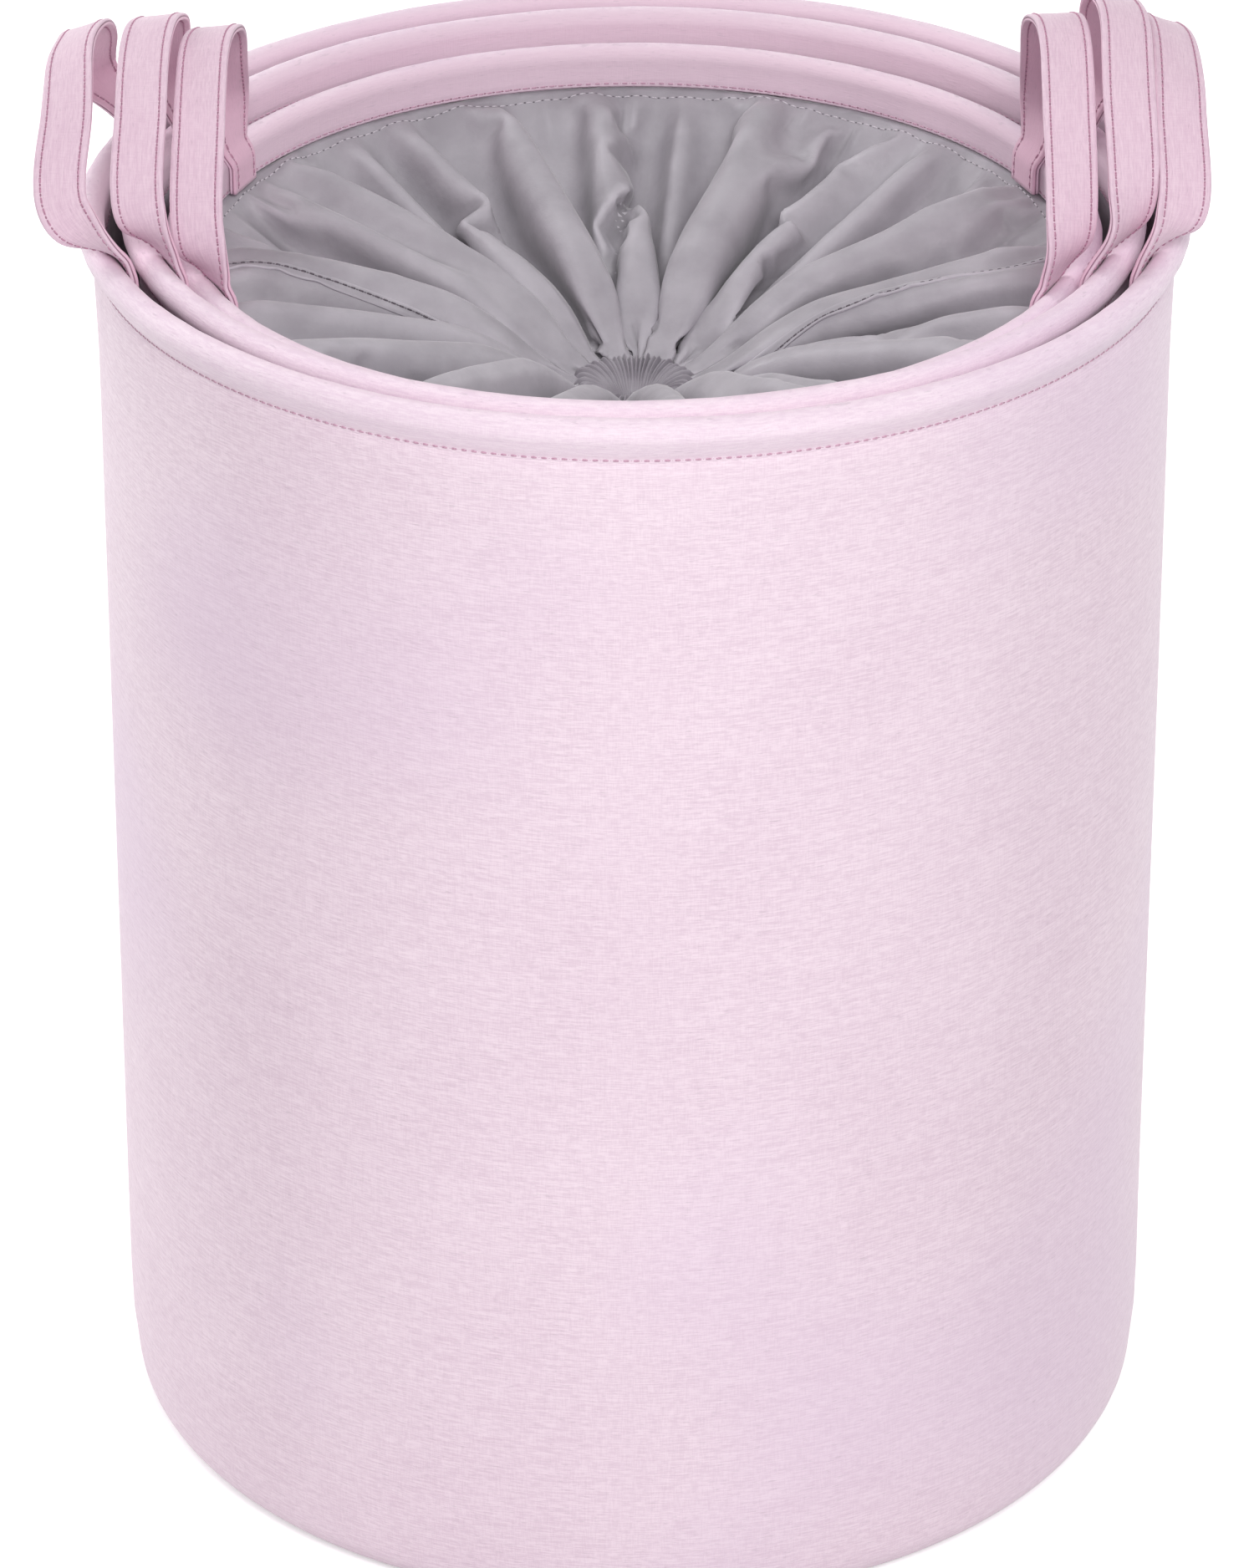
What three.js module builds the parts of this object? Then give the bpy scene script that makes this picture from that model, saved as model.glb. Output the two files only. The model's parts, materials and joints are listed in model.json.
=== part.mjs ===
// A nest of three round fabric laundry hampers, large, medium and small, each standing inside the next.
// Each one has a stiffened fabric wall, a sewn-in base panel, a folded hem over a springy hoop,
// two strap handles and a drawstring cover. The large and medium covers are tucked down inside,
// and the small one is drawn shut over the top.
// Millimetres, +Z up. The origin is the centre of the large hamper's underside, the front is -Y.
import * as THREE from "three";
import { mergeVertices } from "three/addons/utils/BufferGeometryUtils.js";

// Facets
const RING_FACETS = 44;
const CROWN_STEPS = 5;
const CORNER_STEPS = 3;
const CORD_SIDES = 6;
const STRAP_STATIONS = 22;
const MOUTH_FACETS = 24;

// The three sizes of hamper
const LARGE_WALL_RADIUS = 200;
const LARGE_HEIGHT = 500;
const MEDIUM_RIM_DROP = 0.7;
const SMALL_RIM_DROP = 8.7;
const MEDIUM_NEST_CLEARANCE = 2.5;
const SMALL_NEST_CLEARANCE = 2;

// Wall and base, alike on all three
const CLEARANCE = 0.3;
const WALL_THICKNESS = 2.2;
const BOTTOM_CORNER_RADIUS = 8;
const BASE_THICKNESS = 3;
const BINDING_THICKNESS = 1.2;

// Rim: a hoop inside a folded hem
const HOOP_DIAMETER = 8;
const HEM_FABRIC = 1.3;
const HEM_DEPTH = 16;

// Strap handles
const STRAP_WIDTH = 19;
const STRAP_THICKNESS = 2.8;
const STRAP_HALF_CHORD = 63;
const STRAP_END_LENGTH = 15;
const STRAP_SHOULDER_HEIGHT = 18;
const STRAP_SHOULDER_SPREAD = 2;
const STRAP_CROSS_SHARE = 0.8;
const STRAP_UPPER_CHORD_SHARE = 0.62;
const STRAP_TWIST_SHARE = 0.16;

// The strap's rounded end, where it turns: how far below its centre, and how thick, at shares of its radius
const STRAP_NOSE_SHARES = [
  [1, 0.5],
  [0.5, 0.87],
];

// Each handle's height over its rim, and how far its strap stands outside its hinge
const LARGE_LEFT_RISE = 57;
const LARGE_LEFT_LEAN = 20;
const LARGE_RIGHT_RISE = 61;
const LARGE_RIGHT_LEAN = 12.9;
const MEDIUM_LEFT_RISE = 63;
const MEDIUM_LEFT_LEAN = 10;
const MEDIUM_RIGHT_RISE = 71;
const MEDIUM_RIGHT_LEAN = 10;
const SMALL_LEFT_RISE = 67;
const SMALL_LEFT_LEAN = 6;
const SMALL_RIGHT_RISE = 73;
const SMALL_RIGHT_LEAN = 6;

// A turn of 1 brings the strap edge nearest the front round to the outer side, -1 to the inner side
const HANDLES = {
  large: {
    left: { rise: LARGE_LEFT_RISE, lean: LARGE_LEFT_LEAN, turn: -1 },
    right: { rise: LARGE_RIGHT_RISE, lean: LARGE_RIGHT_LEAN, turn: -1 },
  },
  medium: {
    left: { rise: MEDIUM_LEFT_RISE, lean: MEDIUM_LEFT_LEAN, turn: -1 },
    right: { rise: MEDIUM_RIGHT_RISE, lean: MEDIUM_RIGHT_LEAN, turn: 1 },
  },
  small: {
    left: { rise: SMALL_LEFT_RISE, lean: SMALL_LEFT_LEAN, turn: -1 },
    right: { rise: SMALL_RIGHT_RISE, lean: SMALL_RIGHT_LEAN, turn: 1 },
  },
};

// Drawstring covers
const COVER_FABRIC = 1;
const CORD_DIAMETER = 3;
const CASING_DEPTH = 12;
const TUCKED_LENGTH = 230;
const MOUTH_RADIUS = 10;
const FUNNEL_DEPTH = 54;
const FUNNEL_EDGE_DROP = 2;

// Folds of the drawn cover: how deep, and where the funnel and the folds lie at shares of its radius
const FOLD_COUNT = 18;
const FOLD_STEPS = 4;
const FOLD_HEIGHT = 13;
const PLEAT_HEIGHT = 4;
const FOLD_RING_SHARES = [1, 0.9, 0.76, 0.6, 0.44, 0.3, 0.17, 0];
const FUNNEL_SHARES = [0, 0.05, 0.13, 0.25, 0.42, 0.62, 0.84, 1];
const FOLD_SHARES = [0, 0.22, 0.62, 1, 0.95, 0.7, 0.3, 0];
const PLEAT_SHARES = [0, 0, 0, 0, 0.1, 0.35, 0.6, 0.15];
const CREST_SHARES = [1, -0.1, -0.72, -0.3];
const FOLD_DRIFT_SHARE = 0.2;
const FOLD_UNEVEN_SHARE = 0.22;
const FOLD_SWING_SHARE = 0.55;

const PINK = new THREE.Color("#e9cfe0");
const LILAC = new THREE.Color("#dcbfd6");
const GREY = new THREE.Color("#b9b2ba");
const PLASTIC = new THREE.Color("#d9d6d2");
const WHITE = new THREE.Color("#e6e2e4");

function cloth(color) {
  return new THREE.MeshStandardMaterial({ color, roughness: 0.9, metalness: 0 });
}

const materials = {
  wall: () => cloth(PINK),
  trim: () => cloth(LILAC),
  cover: () => cloth(GREY),
  cord: () => cloth(WHITE),
  hoop: () => new THREE.MeshStandardMaterial({ color: PLASTIC, roughness: 0.5, metalness: 0 }),
};

// Points of an arc in a profile, angles counted from outwards (+r) towards up (+z)
function arc(r, z, radius, from, to, steps) {
  return Array.from({ length: steps + 1 }, (_, i) => {
    const a = from + ((to - from) * i) / steps;
    return [r + radius * Math.cos(a), z + radius * Math.sin(a)];
  });
}

function signedArea(points) {
  return points.reduce((sum, [r, z], i) => {
    const [nextR, nextZ] = points[(i + 1) % points.length];
    return sum + (r * nextZ - nextR * z) / 2;
  }, 0);
}

// A closed profile of [radius, height] points turned about +Z
function revolve(points, facets = RING_FACETS) {
  const turned = signedArea(points) > 0 ? points : [...points].reverse();
  const onAxis = turned.some(([r]) => r === 0);
  const start = onAxis ? turned.findIndex(([r], i) => r === 0 && turned.at(i - 1)[0] === 0) : 0;
  const ordered = [...turned.slice(start), ...turned.slice(0, start)];
  const closed = onAxis ? ordered : [...ordered, ordered[0]];
  const outline = closed.map(([r, z]) => new THREE.Vector2(r, z));
  return new THREE.LatheGeometry(outline, facets).rotateX(Math.PI / 2);
}

// A surface whose vertex grid is given row by row, each row closing on itself. The ends are capped, or else the last
// row joins the first: then the second half is the underside of the first, and its quads split along the same diagonal.
function skin(rows, capEnds) {
  const across = rows[0].length;
  const position = rows.flat().flatMap((p) => p.toArray());
  const index = [];
  const joins = capEnds ? rows.length - 1 : rows.length;
  for (let i = 0; i < joins; i++) {
    for (let j = 0; j < across; j++) {
      const a = i * across + j;
      const b = i * across + ((j + 1) % across);
      const c = ((i + 1) % rows.length) * across + j;
      const d = ((i + 1) % rows.length) * across + ((j + 1) % across);
      const underside = !capEnds && i >= rows.length / 2;
      index.push(...(underside ? [a, b, c, b, d, c] : [a, b, d, a, d, c]));
    }
  }
  const last = (rows.length - 1) * across;
  for (let j = 1; capEnds && j < across - 1; j++) {
    index.push(0, j + 1, j, last, last + j, last + j + 1);
  }
  const geometry = new THREE.BufferGeometry();
  geometry.setAttribute("position", new THREE.Float32BufferAttribute(position, 3));
  geometry.setIndex(index);
  return mergeVertices(facingOut(geometry));
}

function volumeOf(geometry) {
  const p = geometry.getAttribute("position");
  const [a, b, c] = [new THREE.Vector3(), new THREE.Vector3(), new THREE.Vector3()];
  let volume = 0;
  for (let i = 0; i < geometry.index.count; i += 3) {
    a.fromBufferAttribute(p, geometry.index.getX(i));
    b.fromBufferAttribute(p, geometry.index.getX(i + 1));
    c.fromBufferAttribute(p, geometry.index.getX(i + 2));
    volume += a.dot(b.cross(c)) / 6;
  }
  return volume;
}

function facingOut(geometry) {
  if (volumeOf(geometry) > 0) return geometry;
  const order = [...geometry.index.array];
  for (let i = 0; i < order.length; i += 3) [order[i + 1], order[i + 2]] = [order[i + 2], order[i + 1]];
  return geometry.setIndex(order);
}

function smooth(t) {
  const x = Math.min(Math.max(t, 0), 1);
  return x * x * (3 - 2 * x);
}

// A flat facet lies this share of the radius from the axis
const FACET_SHARE = Math.cos(Math.PI / RING_FACETS);

// The crown is the hem round the hoop. Its inner side is flush with the inner leg of the hem, so it stands out past
// the wall by what is left of its thickness.
const CROWN_RADIUS = HOOP_DIAMETER / 2 + HEM_FABRIC;
const CROWN_REACH = 2 * CROWN_RADIUS - WALL_THICKNESS - CLEARANCE - HEM_FABRIC;

// Every radius and height of one hamper, worked out from its wall, its underside and its top
function measure(name, wallRadius, underside, top) {
  const wallInner = wallRadius - WALL_THICKNESS;
  const hemInner = wallInner - CLEARANCE - HEM_FABRIC;
  const strapOuter = hemInner * FACET_SHARE - CLEARANCE;
  return {
    name,
    underside,
    top,
    wallRadius,
    wallInner,
    hemInner,
    hemBottom: top - HEM_DEPTH,
    hoopRadius: hemInner + CROWN_RADIUS,
    hoopHeight: top - CROWN_RADIUS,
    strapOuter,
    strapMiddle: strapOuter - STRAP_THICKNESS / 2,
    strapInner: strapOuter - STRAP_THICKNESS,
    floor: underside + BASE_THICKNESS,
  };
}

// A hamper stands on the floor of the one round it, and its rim clears that one's strap ends
function nestInside(outer, name, clearance, rimDrop) {
  const wallRadius = outer.strapInner - clearance - CROWN_REACH;
  return measure(name, wallRadius, outer.floor + CLEARANCE, outer.top - rimDrop);
}

const large = measure("large", LARGE_WALL_RADIUS, 0, LARGE_HEIGHT);
const medium = nestInside(large, "medium", MEDIUM_NEST_CLEARANCE, MEDIUM_RIM_DROP);
const small = nestInside(medium, "small", SMALL_NEST_CLEARANCE, SMALL_RIM_DROP);

// Wall: a stiff fabric tube whose foot curls in under the base panel's edge
function wall(h) {
  const cornerR = h.wallRadius - BOTTOM_CORNER_RADIUS;
  const cornerZ = h.underside + BOTTOM_CORNER_RADIUS;
  const wallTop = h.hoopHeight - HOOP_DIAMETER / 2 - CLEARANCE;
  const insideRadius = BOTTOM_CORNER_RADIUS - WALL_THICKNESS;
  return revolve([
    ...arc(cornerR, cornerZ, BOTTOM_CORNER_RADIUS, -Math.PI / 2, 0, CORNER_STEPS),
    [h.wallRadius, wallTop],
    [h.wallInner, wallTop],
    ...arc(cornerR, cornerZ, insideRadius, 0, -Math.PI / 2, CORNER_STEPS),
  ]);
}

function panelRadius(h) {
  return h.wallRadius - BOTTOM_CORNER_RADIUS - CLEARANCE;
}

function basePanel(h) {
  return revolve([
    [0, h.underside],
    [panelRadius(h), h.underside],
    [panelRadius(h), h.floor],
    [0, h.floor],
  ]);
}

// Binding tape over the seam, following the inside of the corner beside the panel's edge
function baseBinding(h) {
  const cornerR = h.wallRadius - BOTTOM_CORNER_RADIUS;
  const cornerZ = h.underside + BOTTOM_CORNER_RADIUS;
  const outside = BOTTOM_CORNER_RADIUS - WALL_THICKNESS - CLEARANCE;
  const inside = outside - BINDING_THICKNESS;
  return revolve([
    ...arc(cornerR, cornerZ, outside, -Math.PI / 2, 0, CORNER_STEPS),
    ...arc(cornerR, cornerZ, inside, 0, -Math.PI / 2, CORNER_STEPS),
  ]);
}

// Hem: one fold of fabric round the hoop, down the outside to the stitching and down the inside
function hem(h) {
  const outsideIn = h.wallRadius + CLEARANCE;
  const insideOut = h.wallInner - CLEARANCE;
  const crown = arc(h.hoopRadius, h.hoopHeight, CROWN_RADIUS, -Math.PI / 6, Math.PI, CROWN_STEPS);
  const lining = HOOP_DIAMETER / 2 + CLEARANCE;
  const around = arc(h.hoopRadius, h.hoopHeight, lining, Math.PI, -Math.PI / 6, CROWN_STEPS);
  return revolve([
    [outsideIn, h.hemBottom],
    [outsideIn + HEM_FABRIC, h.hemBottom],
    ...crown,
    [h.hemInner, h.hemBottom],
    [insideOut, h.hemBottom],
    ...around,
  ]);
}

// A ring of round wire or cord
function ring(radius, height, thickness, facets = RING_FACETS) {
  const sides = arc(radius, height, thickness / 2, 0, 2 * Math.PI, CORD_SIDES);
  return revolve(sides.slice(0, CORD_SIDES), facets);
}

const SIDES = { left: -1, right: 1 };
const ENDS = { front: -1, back: 1 };

// The end of a strap, sewn flat to the inside of the hem
function strapEnd(h, side, end) {
  const across = end * STRAP_HALF_CHORD;
  const angle = Math.atan2(across, side * Math.sqrt(h.strapMiddle ** 2 - across ** 2));
  const half = STRAP_WIDTH / 2 / h.strapMiddle;
  const bottom = h.top - STRAP_END_LENGTH;
  const rows = [-half, 0, half].map((a) => {
    const at = (r, z) => new THREE.Vector3(r * Math.cos(angle + a), r * Math.sin(angle + a), z);
    return [at(h.strapInner, bottom), at(h.strapInner, h.top), at(h.strapOuter, h.top), at(h.strapOuter, bottom)];
  });
  return skin(rows, true);
}

// A handle turns about the rounded ends of its strap, just above where they are sewn. Each lies straight along Y, with
// its inner corner over the inner face of the sewn end, so the next hamper's rim clears it.
function pivot(h) {
  const corner = STRAP_HALF_CHORD - STRAP_WIDTH / 2;
  return {
    out: Math.sqrt(h.strapInner ** 2 - corner ** 2) + STRAP_THICKNESS / 2,
    height: h.top + CLEARANCE + STRAP_THICKNESS / 2,
  };
}

// The middle line of a handle, from its front end over the top to its back end
function strapLine(h, side, { rise, lean }) {
  const { out, height } = pivot(h);
  const leaned = out + lean;
  const shoulder = STRAP_HALF_CHORD + STRAP_SHOULDER_SPREAD;
  const point = (x, y, z) => new THREE.Vector3(side * x, y, height + z);
  const leg = (end) => [
    point(out, end * STRAP_HALF_CHORD, 0),
    point(leaned, end * shoulder, STRAP_SHOULDER_HEIGHT),
    point(leaned, end * shoulder * STRAP_UPPER_CHORD_SHARE, rise * STRAP_CROSS_SHARE),
  ];
  const points = [...leg(ENDS.front), point(leaned, 0, rise), ...leg(ENDS.back).reverse()];
  return new THREE.CatmullRomCurve3(points, false, "centripetal");
}

// Four corners of the strap's section
function strapSection(middle, width, face, thickness) {
  const corner = (w, f) =>
    middle
      .clone()
      .addScaledVector(width, (w * STRAP_WIDTH) / 2)
      .addScaledVector(face, (f * thickness) / 2);
  return [corner(-1, -1), corner(1, -1), corner(1, 1), corner(-1, 1)];
}

// A flat strap follows its middle line. Its width turns from lying across the hinge's end to facing the front.
function handle(h, side, shape) {
  const line = strapLine(h, side, shape);
  const up = new THREE.Vector3(0, 0, 1);
  const outward = new THREE.Vector3(side, 0, 0);
  const sectionAt = (t, drop, thickness) => {
    const end = t < 1 / 2 ? ENDS.front : ENDS.back;
    const sewn = new THREE.Vector3(0, end * shape.turn, 0);
    const atEnd = t === 0 || t === 1;
    const tangent = atEnd ? up.clone().multiplyScalar(-end) : line.getTangentAt(t);
    const share = smooth(Math.min(t, 1 - t) / STRAP_TWIST_SHARE);
    const width = sewn.lerp(outward, share);
    width.addScaledVector(tangent, -width.dot(tangent)).normalize();
    const face = new THREE.Vector3().crossVectors(tangent, width);
    const middle = line.getPointAt(t).addScaledVector(up, -drop);
    return strapSection(middle, width, face, thickness);
  };
  const nose = (t) =>
    STRAP_NOSE_SHARES.map(([drop, thick]) =>
      sectionAt(t, (drop * STRAP_THICKNESS) / 2, thick * STRAP_THICKNESS),
    );
  const stations = Array.from({ length: STRAP_STATIONS + 1 }, (_, i) => i / STRAP_STATIONS);
  const rows = stations.map((t) => sectionAt(t, 0, STRAP_THICKNESS));
  return skin([...nose(0), ...rows, ...nose(1).reverse()], true);
}

// A cover tucked down inside its wall, ending in a turned-up casing that holds its cord
function tuckedCover(h) {
  const outer = h.wallInner - CLEARANCE;
  const inner = outer - COVER_FABRIC;
  const top = h.hemBottom - CLEARANCE;
  const bottom = top - TUCKED_LENGTH;
  const pocket = CORD_DIAMETER + 2 * CLEARANCE;
  return revolve([
    [outer, bottom],
    [outer, top],
    [inner, top],
    [inner, bottom + COVER_FABRIC],
    [inner - pocket, bottom + COVER_FABRIC],
    [inner - pocket, bottom + CASING_DEPTH],
    [inner - pocket - COVER_FABRIC, bottom + CASING_DEPTH],
    [inner - pocket - COVER_FABRIC, bottom],
  ]);
}

function tuckedCord(h) {
  const radius = h.wallInner - CLEARANCE - COVER_FABRIC - CLEARANCE - CORD_DIAMETER / 2;
  const bottom = h.hemBottom - CLEARANCE - TUCKED_LENGTH + COVER_FABRIC;
  return ring(radius, bottom + CLEARANCE + CORD_DIAMETER / 2, CORD_DIAMETER);
}

// The drawn mouth: a gathered casing, open below, round the drawstring
const mouth = {
  cordRadius: MOUTH_RADIUS + COVER_FABRIC + CLEARANCE + CORD_DIAMETER / 2,
  outer: MOUTH_RADIUS + 2 * COVER_FABRIC + 2 * CLEARANCE + CORD_DIAMETER,
  top: small.hemBottom - CLEARANCE - FUNNEL_DEPTH,
};
mouth.bottom = mouth.top - CASING_DEPTH;

function mouthCasing() {
  const ceiling = mouth.top - COVER_FABRIC;
  return revolve(
    [
      [MOUTH_RADIUS, mouth.bottom],
      [MOUTH_RADIUS + COVER_FABRIC, mouth.bottom],
      [MOUTH_RADIUS + COVER_FABRIC, ceiling],
      [mouth.outer - COVER_FABRIC, ceiling],
      [mouth.outer - COVER_FABRIC, mouth.bottom],
      [mouth.outer, mouth.bottom],
      [mouth.outer, mouth.top],
      [MOUTH_RADIUS, mouth.top],
    ],
    MOUTH_FACETS,
  );
}

function mouthCord() {
  const height = mouth.top - COVER_FABRIC - CLEARANCE - CORD_DIAMETER / 2;
  return ring(mouth.cordRadius, height, CORD_DIAMETER, MOUTH_FACETS);
}

// The direction that a sheet faces at one point of its grid, whose rows run round and step inwards
function facing(rows, i, j) {
  const across = rows[i].length;
  const round = rows[i][(j + 1) % across].clone().sub(rows[i][(j + across - 1) % across]);
  const inward = rows[Math.min(i + 1, rows.length - 1)][j].clone().sub(rows[Math.max(i - 1, 0)][j]);
  return round.cross(inward).normalize();
}

// The drawn cover: a sagging funnel whose cloth gathers into folds, then fine pleats at the mouth.
// Folds that stand closer together are lower. The edge row lies flat, so its underside is straight below it.
function drawnCover(h) {
  const edge = (h.wallInner - CLEARANCE) * FACET_SHARE;
  const inner = mouth.outer + CLEARANCE;
  const columns = FOLD_COUNT * FOLD_STEPS;
  const edgeHeight = h.hemBottom - CLEARANCE;
  const row = (i) =>
    Array.from({ length: columns }, (_, j) => {
      const turn = (2 * Math.PI * j) / columns;
      const drift = (FOLD_DRIFT_SHARE * FOLD_SHARES[i] * 2 * Math.PI) / FOLD_COUNT;
      const angle = turn + drift * (Math.sin(3 * turn) + Math.sin(5 * turn + 1));
      const spacing = 1 + drift * (3 * Math.cos(3 * turn) + 5 * Math.cos(5 * turn + 1));
      const uneven = 1 - FOLD_UNEVEN_SHARE * (1 + Math.sin(4 * turn + FOLD_SWING_SHARE * Math.PI));
      const fold = FOLD_HEIGHT * FOLD_SHARES[i] * spacing * uneven * CREST_SHARES[j % FOLD_STEPS];
      const pleat = PLEAT_HEIGHT * PLEAT_SHARES[i] * (j % 2 ? -1 / 2 : 1 / 2);
      const funnel = FUNNEL_EDGE_DROP * (i ? 1 : 0) + (FUNNEL_DEPTH - FUNNEL_EDGE_DROP) * FUNNEL_SHARES[i];
      const r = inner + (edge - inner) * FOLD_RING_SHARES[i];
      return new THREE.Vector3(r * Math.cos(angle), r * Math.sin(angle), edgeHeight - funnel + fold + pleat);
    });
  const upper = FOLD_RING_SHARES.map((_, i) => row(i));
  const up = new THREE.Vector3(0, 0, 1);
  const lower = upper.map((points, i) =>
    points.map((p, j) => p.clone().addScaledVector(i ? facing(upper, i, j) : up, -COVER_FABRIC)),
  );
  return skin([...upper, ...lower.reverse()], false);
}

const assembly = new THREE.Group();

function add(name, geometry, material) {
  const mesh = new THREE.Mesh(geometry, material);
  mesh.name = name;
  assembly.add(mesh);
}

function addHamper(h) {
  add(h.name + "_wall", wall(h), materials.wall());
  add(h.name + "_base_panel", basePanel(h), materials.wall());
  add(h.name + "_base_binding", baseBinding(h), materials.trim());
  add(h.name + "_rim_hem", hem(h), materials.trim());
  add(h.name + "_rim_hoop", ring(h.hoopRadius, h.hoopHeight, HOOP_DIAMETER), materials.hoop());
  for (const [sideName, side] of Object.entries(SIDES)) {
    const handleName = h.name + "_handle_" + sideName;
    add(handleName, handle(h, side, HANDLES[h.name][sideName]), materials.trim());
    for (const [endName, end] of Object.entries(ENDS)) {
      add(handleName + "_" + endName + "_end", strapEnd(h, side, end), materials.trim());
    }
  }
}

for (const h of [large, medium]) {
  addHamper(h);
  add(h.name + "_cover", tuckedCover(h), materials.cover());
  add(h.name + "_drawstring", tuckedCord(h), materials.cord());
}

addHamper(small);
add("small_cover", drawnCover(small), materials.cover());
add("small_cover_mouth", mouthCasing(), materials.cover());
add("small_drawstring", mouthCord(), materials.cord());

export default assembly;
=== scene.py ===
import json
import math
import random

import bpy
import numpy as np
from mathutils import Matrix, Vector

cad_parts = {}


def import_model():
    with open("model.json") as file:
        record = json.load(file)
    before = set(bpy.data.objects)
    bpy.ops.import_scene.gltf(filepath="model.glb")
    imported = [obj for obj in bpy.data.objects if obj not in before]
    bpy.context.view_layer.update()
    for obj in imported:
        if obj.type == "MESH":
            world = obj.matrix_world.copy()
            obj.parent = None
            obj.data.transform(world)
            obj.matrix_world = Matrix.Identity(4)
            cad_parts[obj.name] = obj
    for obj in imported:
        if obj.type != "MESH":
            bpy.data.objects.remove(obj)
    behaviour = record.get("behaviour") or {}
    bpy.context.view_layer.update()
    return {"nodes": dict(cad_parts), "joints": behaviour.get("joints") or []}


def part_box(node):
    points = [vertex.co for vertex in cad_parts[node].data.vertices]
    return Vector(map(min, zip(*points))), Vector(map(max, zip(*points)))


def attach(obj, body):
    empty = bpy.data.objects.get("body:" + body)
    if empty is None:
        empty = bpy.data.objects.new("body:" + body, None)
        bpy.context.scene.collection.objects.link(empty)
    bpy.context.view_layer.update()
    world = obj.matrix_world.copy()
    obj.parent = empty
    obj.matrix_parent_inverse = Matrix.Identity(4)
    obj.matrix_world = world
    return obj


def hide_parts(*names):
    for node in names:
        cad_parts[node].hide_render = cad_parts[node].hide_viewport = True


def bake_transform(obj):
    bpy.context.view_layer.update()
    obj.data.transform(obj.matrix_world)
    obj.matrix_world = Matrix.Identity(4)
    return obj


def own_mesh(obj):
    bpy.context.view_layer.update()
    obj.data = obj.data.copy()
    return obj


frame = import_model()

# A nest of three fabric laundry hampers. Lengths are in metres, +Z is up and the front is -Y.
FULL_TURN = 2 * math.pi

# Sizes that the CAD boxes don't give
HOOP_DIAMETER = 0.008
HEM_FABRIC = 0.0013
WALL_THICKNESS = 0.0022
CORNER_RADIUS = 0.014
PANEL_EDGE_INSET = 0.0045
FOOT_TAPER = 0.0028
FOOT_TAPER_HEIGHT = 0.04
STRAP_WIDTH = 0.019
STRAP_THICKNESS = 0.0028
STRAP_HALF_CHORD = 0.063
STRAP_END_LENGTH = 0.015
STRAP_SHOULDER_HEIGHT = 0.018
STRAP_SHOULDER_SPREAD = 0.002
CORD_DIAMETER = 0.003

# Seams
HEM_STITCH = 0.0036
HEM_THREAD_RADIUS = 0.00032
HEM_HOLE_RADIUS = 0.00055
STRAP_STITCH = 0.0031
STRAP_THREAD_RADIUS = 0.00036
STRAP_HOLE_RADIUS = 0.00055
THREAD_RADIUS = 0.00026
NEEDLE_HOLE_RADIUS = 0.00042


def smooth(t):
    x = np.clip(t, 0.0, 1.0)
    return x * x * (3.0 - 2.0 * x)


def ripple(turn, counts, seed):
    """A sum of waves round a ring, from about -1 to 1."""
    draw = random.Random(seed)
    total = sum(np.sin(count * turn + draw.uniform(0, FULL_TURN)) for count in counts)
    return total / len(counts)


# Meshes


def mesh_object(name, points, faces, material, smooth_faces=True):
    mesh = bpy.data.meshes.new(name)
    mesh.from_pydata(np.asarray(points, float).reshape(-1, 3).tolist(), [], faces)
    mesh.polygons.foreach_set("use_smooth", [smooth_faces] * len(mesh.polygons))
    mesh.update()
    made = bpy.data.objects.new(name, mesh)
    bpy.context.scene.collection.objects.link(made)
    for one in material if isinstance(material, (list, tuple)) else [material]:
        mesh.materials.append(one)
    return made


def grid_faces(rows, columns, close_rows=True, close_columns=True):
    """Quads of a grid. Closed rows join their last point to their first, closed columns their last row."""
    i = np.arange(rows if close_columns else rows - 1)[:, None]
    j = np.arange(columns if close_rows else columns - 1)[None, :]
    right = (j + 1) % columns
    below = (i + 1) % rows
    quads = [i * columns + j, i * columns + right, below * columns + right, below * columns + j]
    return np.stack([np.broadcast_to(q, (len(i), j.shape[1])) for q in quads], -1).reshape(-1, 4)


def volume(points, quads):
    a, b, c, d = (points[quads[:, k]] for k in range(4))
    return float((np.cross(b - a, c - a) * a + np.cross(c - a, d - a) * a).sum()) / 6.0


def grid_object(name, points, material, close_rows=True, close_columns=True, cap=False):
    """A closed skin over a grid of points, rows by columns, with its faces turned outwards."""
    rows, columns = points.shape[:2]
    flat = points.reshape(-1, 3)
    quads = grid_faces(rows, columns, close_rows, close_columns)
    if volume(flat, quads) < 0:
        quads = quads[:, ::-1]
    faces = quads.tolist()
    if cap:
        first = list(range(columns))
        last = list(range((rows - 1) * columns, rows * columns))
        turned = quads[0][1] != 1 and quads[0][0] != 1
        faces += [first if turned else first[::-1], last[::-1] if turned else last]
    return mesh_object(name, flat, faces, material)


def turns(count):
    return np.linspace(0, FULL_TURN, count, endpoint=False)


def on_ring(radius, turn, height):
    return np.stack([radius * np.cos(turn), radius * np.sin(turn), height], -1)


def turned(profile, around, vary=None):
    """A profile of [radius, height] points turned about +Z, as a grid of points."""
    profile = np.asarray(profile, float)
    turn = turns(around)[None, :]
    r = np.repeat(profile[:, :1], around, 1)
    z = np.repeat(profile[:, 1:2], around, 1)
    if vary:
        r, z = vary(r, z, turn)
    return on_ring(r, turn, z)


def arc(r, z, radius, start, end, steps):
    """Points of an arc in a profile, its angles in degrees from outwards towards up."""
    return [
        [r + radius * math.cos(math.radians(a)), z + radius * math.sin(math.radians(a))]
        for a in np.linspace(start, end, steps + 1)
    ]


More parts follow.
